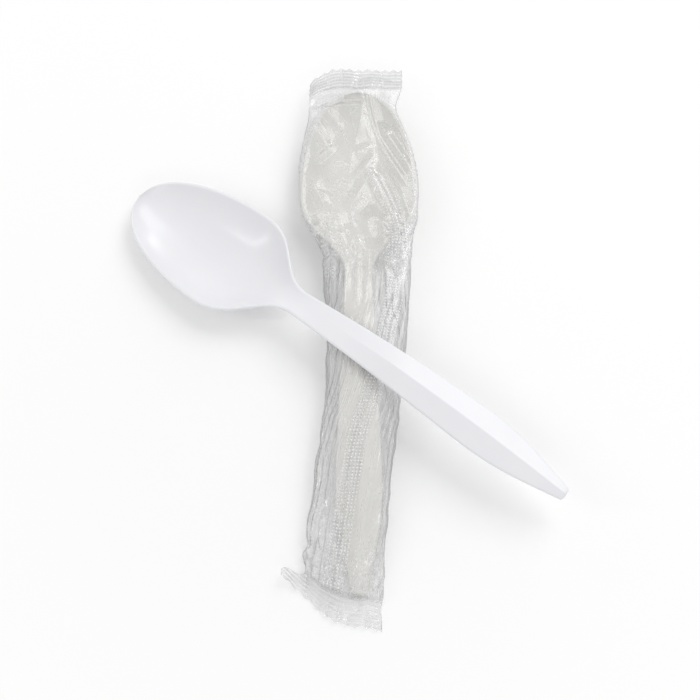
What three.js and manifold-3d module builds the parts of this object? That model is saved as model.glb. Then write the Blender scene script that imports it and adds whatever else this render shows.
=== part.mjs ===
import * as THREE from "three";
import { mergeVertices } from "three/addons/utils/BufferGeometryUtils.js";
import Module from "manifold-3d";

// Spoon, as moulded. Stations run from the bowl's tip to the end of the handle.
const SPOON_LENGTH = 147;
const BOWL_WIDTH = 33;
const BOWL_WIDEST = 34;
const BOWL_DEPTH = 6.6;
const BOWL_WALL = 1;
const BOWL_NOSE = 10.6;
const RIM_LIP = 0.9;
const NOSE_WIDTH = 1.6;
const NECK_AT = 58.5;
const NECK_WIDTH = 7.7;
const GRIP_WIDEST = 119.5;
const GRIP_WIDTH = 12.3;
const GRIP_END_WIDTH = 3.8;
const GRIP_WALL = 1.2;
const RIDGE_HEIGHT = 1.6;
const RIDGE_END_HEIGHT = 0.7;
const RIDGE_FROM = 66;
const RIDGE_FULL = 94;
const ARCH_AT = 76;
const ARCH_RISE = 1.4;
const END_LIFT = 0.2;

// Film sleeve: one web folded round the spoon, with a lapped fin and two crimped ends.
const FILM_WALL = 0.35;
const FILM_GAP = 0.3;
const SIDE_SLACK = 1;
const DRIFT_SLACK = 0.6;
const CREST_SLACK = 0.3;
const WAIST_WIDTH = 21.5;
const SHOULDER_SHARE = 0.64;
const WAIST_SHIFT = 1.6;
const BOTTOM_SHIFT = -4;
const TOP_SEAL_WIDTH = 27;
const TOP_SEAL_BAND = 7;
const BOTTOM_SEAL_WIDTH = 26;
const BOTTOM_SEAL_BAND = 7;
const BOTTOM_SEAL_TURN = THREE.MathUtils.degToRad(26);
const BOTTOM_SEAL_SHIFT = -7.5;
const SEAL_THICKNESS = 1;
const TOP_MARGIN = 2;
const BOTTOM_MARGIN = 2.3;
const PINK_PITCH = 2.6;
const PINK_DEPTH = 0.8;
const FIN_WIDTH = 6;
const FIN_THICKNESS = 0.4;
const FIN_ROOT = 0.2;
const FIN_TOP_SHARE = 0.1;
const FIN_WAIST_SHARE = 0.55;
const FIN_BOTTOM_SHARE = -0.1;
const VENT_WIDTH = 2.4;
const VENT_HEIGHT = 0.4;

// Loose spoon, lying across the sleeve with its bowl on the table.
const LOOSE_HEADING = THREE.MathUtils.degToRad(-38);
const LOOSE_MIDDLE = new THREE.Vector2(-4.2, -4.3);
const REST_GAP = 0.35;

// Mesh fineness.
const SPOON_STATIONS = 44;
const SPOON_ACROSS = 12;
const SLEEVE_PITCH = 3.44;
const SLEEVE_RING = 32;
const FIN_ACROSS = 3;

const wasm = await Module();
wasm.setup();
const { smoothstep, lerp, clamp } = THREE.MathUtils;

// Half of the spoon's plan outline: x is the station and y the half width.
function spoonOutline() {
  const half = new THREE.Path();
  half.moveTo(0, NOSE_WIDTH / 2);
  half.bezierCurveTo(0, BOWL_NOSE, BOWL_WIDEST * 0.45, BOWL_WIDTH / 2, BOWL_WIDEST, BOWL_WIDTH / 2);
  const shoulder = NECK_AT - BOWL_WIDEST;
  half.bezierCurveTo(
    BOWL_WIDEST + shoulder * 0.5,
    BOWL_WIDTH / 2,
    NECK_AT - shoulder * 0.4,
    NECK_WIDTH / 2,
    NECK_AT,
    NECK_WIDTH / 2,
  );
  const grip = GRIP_WIDEST - NECK_AT;
  half.bezierCurveTo(
    NECK_AT + grip * 0.22,
    lerp(NECK_WIDTH, GRIP_WIDTH, 0.2) / 2,
    GRIP_WIDEST - grip * 0.16,
    GRIP_WIDTH / 2,
    GRIP_WIDEST,
    GRIP_WIDTH / 2,
  );
  const end = SPOON_LENGTH - GRIP_WIDEST;
  half.bezierCurveTo(
    GRIP_WIDEST + end * 0.38,
    GRIP_WIDTH / 2,
    SPOON_LENGTH - end * 0.34,
    lerp(GRIP_END_WIDTH, GRIP_WIDTH, 0.5) / 2,
    SPOON_LENGTH,
    GRIP_END_WIDTH / 2,
  );
  return half;
}

const OUTLINE = spoonOutline();
const OUTLINE_POINTS = OUTLINE.getSpacedPoints(400);

// Half width of the spoon at a station; zero past either end.
function spoonHalfWidth(station) {
  if (station < 0 || station > SPOON_LENGTH) {
    return 0;
  }
  const next = OUTLINE_POINTS.findIndex((point) => point.x >= station);
  const after = OUTLINE_POINTS[Math.max(next, 1)];
  const before = OUTLINE_POINTS[Math.max(next, 1) - 1];
  const share = clamp((station - before.x) / Math.max(after.x - before.x, 1e-6), 0, 1);
  return lerp(before.y, after.y, share);
}

function spoonWall(station) {
  return lerp(BOWL_WALL, GRIP_WALL, smoothstep(station, BOWL_WIDEST, NECK_AT));
}

// Height of the rim and of the handle's edges above the plane the spoon rests on.
function edgeHeight(station) {
  const rim = BOWL_DEPTH + BOWL_WALL;
  const arch = rim + ARCH_RISE;
  if (station <= ARCH_AT) {
    return lerp(rim, arch, smoothstep(station, BOWL_WIDEST, ARCH_AT));
  }
  const drop = (station - ARCH_AT) / (SPOON_LENGTH - ARCH_AT);
  return lerp(arch, GRIP_WALL + END_LIFT, drop ** 1.7);
}

// Height of the ridge along the middle of the handle, above its edges.
function ridgeHeight(station) {
  const end = smoothstep(station, GRIP_WIDEST, SPOON_LENGTH);
  return lerp(RIDGE_HEIGHT, RIDGE_END_HEIGHT, end) * smoothstep(station, RIDGE_FROM, RIDGE_FULL);
}

function bowlDepth(station, half) {
  const fullness = (half / (BOWL_WIDTH / 2)) ** 1.3;
  return BOWL_DEPTH * fullness * (1 - smoothstep(station, NECK_AT - 10, NECK_AT + 12));
}

// Underside of the bowl along its middle.
function bowlUnder(station) {
  return edgeHeight(station) - bowlDepth(station, spoonHalfWidth(station)) - BOWL_WALL;
}

// Upper surface; across runs from -1 at one edge to 1 at the other.
function spoonTop(station, half, across) {
  const inside = Math.min(1, Math.abs(across) / Math.max(1 - RIM_LIP / half, 0.4));
  const bowl = bowlDepth(station, half) * (1 - inside ** 2.2);
  const ridge = ridgeHeight(station) * (1 - Math.abs(across));
  return edgeHeight(station) - bowl + ridge;
}

// A spoon is one moulding: a slab bent to the outline, the dished bowl and the ridged handle.
function spoonGeometry() {
  const geometry = new THREE.BoxGeometry(1, 1, 1, SPOON_STATIONS, SPOON_ACROSS, 1);
  const position = geometry.getAttribute("position");
  for (let i = 0; i < position.count; i += 1) {
    const { x: station, y: half } = OUTLINE.getPoint(position.getX(i) + 0.5);
    const even = 2 * position.getY(i);
    const across = Math.sign(even) * (1 - (1 - Math.abs(even)) ** 1.6);
    const top = spoonTop(station, half, across);
    const height = position.getZ(i) > 0 ? top : top - spoonWall(station);
    position.setXYZ(i, station, across * half, height);
  }
  return geometry;
}

// Sleeve stations run along Y, the wrapped spoon's tip pointing to +Y.
const SPOON_LIFT = FILM_WALL + FILM_GAP;
const BOWL_TIP_Y = SPOON_LENGTH / 2;
const HANDLE_END_Y = BOWL_TIP_Y - SPOON_LENGTH;
const TOP_SEAL_Y = BOWL_TIP_Y + TOP_MARGIN;
const TOP_EDGE_Y = TOP_SEAL_Y + TOP_SEAL_BAND;
const TURN_DROP = Math.tan(BOTTOM_SEAL_TURN);
const TURN_LEAD = TURN_DROP * (-BOTTOM_SEAL_SHIFT - GRIP_END_WIDTH / 2);
const BOTTOM_SEAL_Y = HANDLE_END_Y - BOTTOM_MARGIN + TURN_LEAD;
const BOTTOM_EDGE_Y = BOTTOM_SEAL_Y - BOTTOM_SEAL_BAND / Math.cos(BOTTOM_SEAL_TURN);
const SLEEVE_ROWS = Math.round((TOP_EDGE_Y - BOTTOM_EDGE_Y + 2 * PINK_DEPTH) / SLEEVE_PITCH);

// Section of the sleeve at a station, shrunk by inset for the space inside it.
function sleeveSection(y, inset) {
  const station = clamp(BOWL_TIP_Y - y, 0, SPOON_LENGTH);
  const close = spoonHalfWidth(station) + FILM_GAP + FILM_WALL;
  const toTop = smoothstep(y, BOWL_TIP_Y - BOWL_WIDEST, BOWL_TIP_Y);
  const flare = 1 - smoothstep(y, BOTTOM_SEAL_Y, BOTTOM_SEAL_Y + 10);
  const toWaist = smoothstep(station, BOWL_WIDEST, NECK_AT);
  const toEnd = smoothstep(station, ARCH_AT, GRIP_WIDEST + 12);
  const drift = lerp(WAIST_SHIFT * toWaist, BOTTOM_SHIFT, toEnd);
  const tube = lerp(lerp(WAIST_WIDTH, TOP_SEAL_WIDTH, toTop), BOTTOM_SEAL_WIDTH, flare) / 2;
  const edge = edgeHeight(station) + SPOON_LIFT;
  const crest = edge + ridgeHeight(station) + FILM_GAP + FILM_WALL + CREST_SLACK;
  const side = lerp(edge, SHOULDER_SHARE * crest, smoothstep(station, NECK_AT - 6, NECK_AT + 12));
  const floor = station < BOWL_WIDEST ? Math.max(0, bowlUnder(station)) : 0;
  const topSeal = smoothstep(y, BOWL_TIP_Y + FILM_GAP, TOP_SEAL_Y);
  const bottomSeal = 1 - smoothstep(y, BOTTOM_SEAL_Y, BOTTOM_SEAL_Y + BOTTOM_MARGIN - FILM_GAP);
  const seal = Math.max(topSeal, bottomSeal);
  const middle = topSeal > 0 ? edge - BOWL_WALL / 2 : SEAL_THICKNESS / 2;
  return {
    centre: lerp(drift, BOTTOM_SEAL_SHIFT, flare),
    half: Math.max(close + SIDE_SLACK, close + DRIFT_SLACK + Math.abs(drift), tube) - inset,
    crest: lerp(crest, middle + SEAL_THICKNESS / 2, seal) - inset,
    side: lerp(side, middle, seal),
    floor: lerp(floor, middle - SEAL_THICKNESS / 2, seal) + inset,
    squareness: lerp(2.6, 7, seal),
    turn: TURN_DROP * (1 - smoothstep(y, BOTTOM_SEAL_Y, HANDLE_END_Y + 22)),
  };
}

// Point on the sleeve: across runs from -1 to 1 and facing is 1 above, -1 below, 0 in the middle.
function sleevePoint(y, across, facing, inset) {
  const { centre, half, crest, side, floor, squareness, turn } = sleeveSection(y, inset);
  const bulge = Math.max(0, 1 - Math.abs(across) ** squareness) ** (1 / squareness);
  const rise = (crest - side) * bulge;
  const fall = (side - floor) * Math.min(1, 1.35 * bulge);
  const height = side + Math.max(facing, 0) * rise + Math.min(facing, 0) * fall;
  return new THREE.Vector3(centre + half * across, y - turn * half * across, height);
}

function sleeveRowY(row) {
  return lerp(TOP_EDGE_Y + PINK_DEPTH, BOTTOM_EDGE_Y - PINK_DEPTH, row / SLEEVE_ROWS);
}

// A tube whose rings follow the section from one station to another, closed at both ends.
function sleeveTube(fromY, toY, inset) {
  const geometry = new THREE.CylinderGeometry(1, 1, 1, SLEEVE_RING, SLEEVE_ROWS);
  const position = geometry.getAttribute("position");
  for (let i = 0; i < position.count; i += 1) {
    const across = position.getX(i);
    const upward = position.getZ(i);
    const facing = Math.hypot(across, upward) > 0.5 ? Math.sign(upward) : 0;
    const y = lerp(toY, fromY, position.getY(i) + 0.5);
    position.setXYZ(i, ...sleevePoint(y, across, facing, inset));
  }
  return geometry;
}

// The lapped fin: a strip laid on the sleeve's upper face, rooted in it.
function finGeometry() {
  const clear = TOP_SEAL_BAND + BOTTOM_MARGIN + 4;
  const first = Math.ceil((SLEEVE_ROWS * clear) / (TOP_EDGE_Y - BOTTOM_EDGE_Y));
  const last = SLEEVE_ROWS - first;
  const geometry = new THREE.BoxGeometry(1, 1, 1, FIN_ACROSS, last - first, 1);
  const position = geometry.getAttribute("position");
  for (let i = 0; i < position.count; i += 1) {
    const y = sleeveRowY(lerp(last, first, position.getY(i) + 0.5));
    const { half } = sleeveSection(y, 0);
    const toWaist = smoothstep(-y, -BOWL_TIP_Y, BOWL_WIDEST + 14 - BOWL_TIP_Y);
    const toBottom = smoothstep(-y, ARCH_AT - BOWL_TIP_Y - 6, ARCH_AT - BOWL_TIP_Y + 34);
    const share = lerp(lerp(FIN_TOP_SHARE, FIN_WAIST_SHARE, toWaist), FIN_BOTTOM_SHARE, toBottom);
    const across = share + (position.getX(i) * FIN_WIDTH) / half;
    const point = sleevePoint(y, across, 1, 0);
    const above = position.getZ(i) > 0 ? FIN_THICKNESS : -FIN_ROOT;
    position.setXYZ(i, point.x, point.y, point.z + above);
  }
  return geometry;
}

// What lies past a zig-zag cut that runs along X through the origin, on the side of +Y.
function pinkedCutGeometry(width) {
  const teeth = 2 * Math.ceil(width / PINK_PITCH);
  const cut = new THREE.Shape();
  cut.moveTo((-teeth * PINK_PITCH) / 2, 3 * PINK_PITCH);
  for (let i = -teeth; i <= teeth; i += 1) {
    cut.lineTo((i * PINK_PITCH) / 2, i % 2 === 0 ? 0 : -PINK_DEPTH);
  }
  cut.lineTo((teeth * PINK_PITCH) / 2, 3 * PINK_PITCH);
  cut.closePath();
  const height = 4 * (BOWL_DEPTH + ARCH_RISE);
  const geometry = new THREE.ExtrudeGeometry(cut, { depth: height, bevelEnabled: false });
  return geometry.translate(0, 0, -height / 2);
}

function solid(geometry) {
  const bare = new THREE.BufferGeometry();
  bare.setAttribute("position", geometry.getAttribute("position").clone());
  bare.setIndex(geometry.index);
  const merged = mergeVertices(bare, 1e-4);
  const mesh = new wasm.Mesh({
    numProp: 3,
    vertProperties: merged.getAttribute("position").array,
    triVerts: new Uint32Array(merged.index.array),
  });
  return new wasm.Manifold(mesh);
}

function geometryOf(manifold) {
  const mesh = manifold.getMesh();
  const geometry = new THREE.BufferGeometry();
  geometry.setAttribute("position", new THREE.BufferAttribute(mesh.vertProperties, 3));
  geometry.setIndex(new THREE.BufferAttribute(mesh.triVerts, 1));
  return geometry;
}

// The sleeve is hollow, and an unsealed channel leads out through its bottom crimp.
function sleeveGeometry() {
  const outside = solid(sleeveTube(sleeveRowY(0), sleeveRowY(SLEEVE_ROWS), 0));
  const inside = solid(sleeveTube(TOP_SEAL_Y - FILM_WALL, BOTTOM_SEAL_Y + FILM_WALL, FILM_WALL));
  const ventLength = HANDLE_END_Y - FILM_WALL - BOTTOM_EDGE_Y + BOTTOM_SEAL_WIDTH / 2;
  const vent = new THREE.BoxGeometry(VENT_WIDTH, ventLength, VENT_HEIGHT);
  vent.translate(0, HANDLE_END_Y - FILM_WALL - ventLength / 2, SEAL_THICKNESS / 2);
  const topCut = pinkedCutGeometry(BOWL_WIDTH).translate(0, TOP_EDGE_Y, 0);
  const bottomCut = pinkedCutGeometry(BOWL_WIDTH).rotateZ(Math.PI - BOTTOM_SEAL_TURN);
  bottomCut.translate(BOTTOM_SEAL_SHIFT, BOTTOM_EDGE_Y, 0);
  const web = outside.add(solid(finGeometry())).subtract(inside).subtract(solid(vent));
  return geometryOf(web.subtract(solid(topCut)).subtract(solid(bottomCut)));
}

function meshOf(name, geometry, material) {
  const mesh = new THREE.Mesh(geometry, new THREE.MeshStandardMaterial(material));
  mesh.name = name;
  return mesh;
}

// The pitch at which the loose spoon lies on its bowl and on the sleeve, where it crosses the wrapped one.
function loosePitch() {
  const toCrossing = -LOOSE_MIDDLE.x / Math.cos(LOOSE_HEADING);
  const crossing = SPOON_LENGTH / 2 + toCrossing;
  const crossingY = LOOSE_MIDDLE.y + toCrossing * Math.sin(LOOSE_HEADING);
  const wanted = sleeveSection(crossingY, 0).crest + FIN_THICKNESS + REST_GAP;
  const under = edgeHeight(crossing) - spoonWall(crossing);
  let pitch = 0;
  for (let step = 0; step < 12; step += 1) {
    let lowest = Infinity;
    for (let station = 0; station < NECK_AT; station += 0.5) {
      const height = bowlUnder(station) * Math.cos(pitch) + (station - crossing) * Math.sin(pitch);
      lowest = Math.min(lowest, height);
    }
    const rise = wanted - (under * Math.cos(pitch) - lowest);
    pitch += Math.atan2(rise, crossing - BOWL_WIDEST);
  }
  return pitch;
}

function cutleryPack() {
  const white = { color: 0xeceef3, roughness: 0.32, metalness: 0 };
  const clear = { color: 0xdfe1e5, roughness: 0.12, metalness: 0, transparent: true, opacity: 0.35 };

  const wrapped = meshOf("wrapped_spoon", spoonGeometry(), white);
  wrapped.position.set(0, BOWL_TIP_Y, SPOON_LIFT);
  wrapped.rotation.z = -Math.PI / 2;

  const loose = meshOf("loose_spoon", spoonGeometry().translate(-SPOON_LENGTH / 2, 0, 0), white);
  loose.rotation.set(0, -loosePitch(), LOOSE_HEADING, "ZYX");
  loose.position.set(LOOSE_MIDDLE.x, LOOSE_MIDDLE.y, 0);
  loose.position.z = -new THREE.Box3().setFromObject(loose, true).min.z;

  const sleeve = meshOf("film_sleeve", sleeveGeometry(), clear);

  const pack = new THREE.Group();
  pack.add(sleeve, wrapped, loose);
  const box = new THREE.Box3().setFromObject(pack, true);
  const middle = box.getCenter(new THREE.Vector3());
  pack.children.forEach((piece) => piece.position.sub(new THREE.Vector3(middle.x, middle.y, box.min.z)));
  return pack;
}

export default cutleryPack();
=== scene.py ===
"""A disposable spoon sealed in a crimped clear film sleeve, with a second spoon lying loose across it."""

import logging
import math
from dataclasses import dataclass
from enum import Enum

import bpy
import numpy as np
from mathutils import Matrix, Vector
from mathutils.geometry import delaunay_2d_cdt


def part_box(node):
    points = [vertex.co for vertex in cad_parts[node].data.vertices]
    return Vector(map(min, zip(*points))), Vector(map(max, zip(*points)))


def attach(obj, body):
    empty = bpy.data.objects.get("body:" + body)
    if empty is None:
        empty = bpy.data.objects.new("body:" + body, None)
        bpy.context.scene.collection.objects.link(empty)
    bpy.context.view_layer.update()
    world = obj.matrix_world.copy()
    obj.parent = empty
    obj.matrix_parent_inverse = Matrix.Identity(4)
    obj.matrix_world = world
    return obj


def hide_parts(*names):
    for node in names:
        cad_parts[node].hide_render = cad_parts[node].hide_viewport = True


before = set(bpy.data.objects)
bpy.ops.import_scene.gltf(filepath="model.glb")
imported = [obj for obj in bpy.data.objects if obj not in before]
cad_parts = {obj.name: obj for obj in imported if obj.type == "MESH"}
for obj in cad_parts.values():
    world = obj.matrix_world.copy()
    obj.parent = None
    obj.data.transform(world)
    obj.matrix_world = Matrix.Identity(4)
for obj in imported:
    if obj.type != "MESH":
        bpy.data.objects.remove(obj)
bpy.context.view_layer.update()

MM = 0.001
log = logging.getLogger("cutlery_pack")

Array = np.ndarray
Pair = tuple[float, float]
Knots = tuple[Pair, ...]


class Node(Enum):
    """Pieces of the pack, by their names in the frame."""

    FILM = "film_sleeve"
    WRAPPED = "wrapped_spoon"
    LOOSE = "loose_spoon"


class Slot(Enum):
    """Names of the pieces' material slots."""

    FILM = "clear_film"
    WRAPPED = "wrapped_spoon_plastic"
    LOOSE = "loose_spoon_plastic"


def linear(code: str) -> tuple[float, float, float, float]:
    """Turns an sRGB hex colour into a linear one.

    Args:
        code: Six hex digits.

    Returns:
        Linear red, green and blue, with an alpha of 1.
    """
    parts = [int(code[i : i + 2], 16) / 255 for i in (0, 2, 4)]
    red, green, blue = (c / 12.92 if c <= 0.04045 else ((c + 0.055) / 1.055) ** 2.4 for c in parts)
    return red, green, blue, 1.0


def add_node(
    tree: bpy.types.NodeTree,
    kind: str,
    inputs: dict[str | int, object] | None = None,
    **settings: object,
) -> bpy.types.Node:
    """Adds a node with its settings, values and links.

    Args:
        tree: Tree that gets the node.
        kind: Blender's name for the kind of node.
        inputs: Values or sockets for its inputs, by name or place.
        **settings: The node's own properties.

    Returns:
        The new node.
    """
    node = tree.nodes.new(kind)
    for name, value in settings.items():
        setattr(node, name, value)
    for key, value in (inputs or {}).items():
        if isinstance(value, bpy.types.NodeSocket):
            tree.links.new(value, node.inputs[key])
        else:
            node.inputs[key].default_value = value
    return node


def blank_material(name: str) -> tuple[bpy.types.Material, bpy.types.NodeTree]:
    """Makes a material with an empty node tree.

    Args:
        name: Name of the finish.

    Returns:
        The material and its tree.
    """
    material = bpy.data.materials.new(name)
    material.use_nodes = True
    material.node_tree.nodes.clear()
    return material, material.node_tree


def mesh_object(name: str, points: Array, faces: list[tuple[int, ...]]) -> bpy.types.Object:
    """Makes a smooth-shaded object from points in millimetres.

    Args:
        name: Name of the piece.
        points: One row of x, y and z for each vertex.
        faces: Vertex numbers of each face.

    Returns:
        The object, linked to the scene.
    """
    mesh = bpy.data.meshes.new(name)
    mesh.from_pydata((points * MM).tolist(), [], faces)
    mesh.polygons.foreach_set("use_smooth", [True] * len(mesh.polygons))
    mesh.update()
    piece = bpy.data.objects.new(name, mesh)
    bpy.context.scene.collection.objects.link(piece)
    return piece


def grid_faces(rows: int, columns: int) -> list[tuple[int, ...]]:
    """Gives the faces of an open grid.

    Args:
        rows: Number of rows of vertices.
        columns: Number of vertices in a row.

    Returns:
        Four vertex numbers for each face.
    """
    return [
        (i * columns + j, i * columns + j + 1, (i + 1) * columns + j + 1, (i + 1) * columns + j)
        for i in range(rows - 1)
        for j in range(columns - 1)
    ]


def ease(value: Array, low: float, high: float) -> Array:
    """Rises smoothly from 0 at low to 1 at high.

    Args:
        value: Numbers to ease.
        low: Where the rise starts.
        high: Where it ends.

    Returns:
        Shares from 0 to 1.
    """
    share = np.clip((np.asarray(value, float) - low) / (high - low), 0, 1)
    return share * share * (3 - 2 * share)


def fall(value: Array, low: float, high: float) -> Array:
    """Falls smoothly from 1 at low to 0 at high."""
    return 1 - ease(value, low, high)


def blend(first: Array, second: Array, share: Array) -> Array:
    """Mixes two values by a share."""
    return first + (second - first) * share


class Profile:
    """A smooth line through a few knots."""

    def __init__(self, knots: Knots) -> None:
        """Keeps the knots in order and finds the slope at each.

        Args:
            knots: Places and values on the line.
        """
        ordered = sorted(knots)
        self.place = np.array([k[0] for k in ordered])
        self.value = np.array([k[1] for k in ordered])
        self.slope = np.gradient(self.value, self.place)

    def at(self, place: Array) -> Array:
        """Reads the line.

        Args:
            place: Where to read it; past either end it stays level.

        Returns:
            The values there.
        """
        place = np.clip(np.asarray(place, float), self.place[0], self.place[-1])
        i = np.clip(np.searchsorted(self.place, place) - 1, 0, len(self.place) - 2)
        span = self.place[i + 1] - self.place[i]
        t = (place - self.place[i]) / span
        start = (2 * t**3 - 3 * t**2 + 1) * self.value[i] + (t**3 - 2 * t**2 + t) * span * self.slope[i]
        end = (3 * t**2 - 2 * t**3) * self.value[i + 1] + (t**3 - t**2) * span * self.slope[i + 1]
        return start + end


@dataclass(frozen=True)
class SmoothNoise:
    """Soft random values from -1 to 1 with one draw per cell, in millimetres."""

    seed: int
    wide: float
    long: float
    cells: int = 64
    origin: Pair = (31.7, 17.3)

    def at(self, across: Array, along: Array) -> Array:
        """Reads the values.

        Args:
            across: Places across the sheet.
            along: Places along the sheet.

        Returns:
            The values there.
        """
        n = self.cells
        draws = np.random.default_rng(self.seed).uniform(-1, 1, (n, n))
        u = np.asarray(across) / self.wide + self.origin[0]
        v = np.asarray(along) / self.long + self.origin[1]
        i, j = np.floor(u).astype(int), np.floor(v).astype(int)
        s, t = ease(u - i, 0, 1), ease(v - j, 0, 1)
        near = blend(draws[i % n, j % n], draws[(i + 1) % n, j % n], s)
        far = blend(draws[i % n, (j + 1) % n], draws[(i + 1) % n, (j + 1) % n], s)
        return blend(near, far, t)


@dataclass(frozen=True)
class Facets:
    """Flat facets between straight creases, as crumpled film has them."""

    seed: int
    spacing: float
    row_share: float = 0.87
    jitter: float = 0.42

    def heights(self, across: Array, along: Array) -> Array:
        """Reads the facets on a grid.

        Args:
            across: Rising places across the sheet.
            along: Rising places along the sheet.

        Returns:
            One row for each place along; heights have a spread of 1.
        """
        rng = np.random.default_rng(self.seed)
        reach = 2 * self.spacing
        columns = np.arange(across[0] - reach, across[-1] + reach, self.spacing)
        rows = np.arange(along[0] - reach, along[-1] + reach, self.spacing * self.row_share)
        u, v = np.meshgrid(columns, rows)
        u = u + (np.arange(len(rows)) % 2)[:, None] * self.spacing / 2
        points = np.stack([u.ravel(), v.ravel()], 1)
        points += rng.uniform(-self.jitter, self.jitter, points.shape) * self.spacing
        levels = rng.normal(0, 1, len(points))
        made = delaunay_2d_cdt([Vector(p) for p in points], [], [], 0, 1e-6)
        places, triangles, origins = made[0], made[2], made[3]
        out = np.zeros((len(along), len(across)))
        for corners in triangles:
            a, b, c = (np.array(places[k]) for k in corners)
            level = [levels[origins[k][0]] for k in corners]
            low, high = np.minimum(np.minimum(a, b), c), np.maximum(np.maximum(a, b), c)
            i0, i1 = np.searchsorted(across, (low[0], high[0]))
            j0, j1 = np.searchsorted(along, (low[1], high[1]))
            if i0 == i1 or j0 == j1:
                continue
            x, y = np.meshgrid(across[i0:i1], along[j0:j1])
            area = (b[0] - a[0]) * (c[1] - a[1]) - (c[0] - a[0]) * (b[1] - a[1])
            s = ((b[0] - x) * (c[1] - y) - (c[0] - x) * (b[1] - y)) / area
            t = ((c[0] - x) * (a[1] - y) - (a[0] - x) * (c[1] - y)) / area
            inside = (s >= 0) & (t >= 0) & (s + t <= 1)
            flat = s * level[0] + t * level[1] + (1 - s - t) * level[2]
            out[j0:j1, i0:i1][inside] = flat[inside]
        return out


@dataclass(frozen=True)
class SpoonPlastic:
    """Injection-moulded polypropylene: an even gloss over a faintly cloudy white that light enters a little.

    The clouds and the grain are spaced in millimetres, and roughness keeps to a narrow range over the clouds.
    """

    name: str
    light: str
    shade: str
    roughness: float
    smoother: float = 0.04
    rougher: float = 0.05
    cloud: float = 16.0
    grain: float = 0.5
    grain_height: float = 0.02
    grain_strength: float = 0.08
    ior: float = 1.46
    glow_share: float = 0.12
    glow_reach: float = 1.2
    glow_colours: tuple[float, float, float] = (1.0, 0.95, 0.9)

    def material(self) -> bpy.types.Material:
        """Builds the plastic's nodes.

        Returns:
            The material.
        """
        material, tree = blank_material(self.name)
        place = add_node(tree, "ShaderNodeTexCoord").outputs["Object"]
        cloud = add_node(
            tree, "ShaderNodeTexNoise", {"Vector": place, "Scale": 1 / (self.cloud * MM), "Detail": 2.0}
        )
        grain = add_node(
            tree, "ShaderNodeTexNoise", {"Vector": place, "Scale": 1 / (self.grain * MM), "Detail": 2.0}
        )
        colour = add_node(
            tree,
            "ShaderNodeMix",
            {"Factor": cloud.outputs["Fac"], "A": linear(self.light), "B": linear(self.shade)},
            data_type="RGBA",
        )
        rough = add_node(
            tree,
            "ShaderNodeMapRange",
            {
                "Value": cloud.outputs["Fac"],
                "To Min": self.roughness - self.smoother,
                "To Max": self.roughness + self.rougher,
            },
        )
        bump = add_node(
            tree,
            "ShaderNodeBump",
            {
                "Height": grain.outputs["Fac"],
                "Strength": self.grain_strength,
                "Distance": self.grain_height * MM,
            },
        )
        surface = add_node(
            tree,
            "ShaderNodeBsdfPrincipled",
            {
                "Base Color": colour.outputs["Result"],
                "Roughness": rough.outputs["Result"],
                "Normal": bump.outputs["Normal"],
                "IOR": self.ior,
                "Subsurface Weight": self.glow_share,
                "Subsurface Radius": self.glow_colours,
                "Subsurface Scale": self.glow_reach * MM,
            },
        )
        add_node(tree, "ShaderNodeOutputMaterial", {"Surface": surface.outputs["BSDF"]})
        return material


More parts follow.
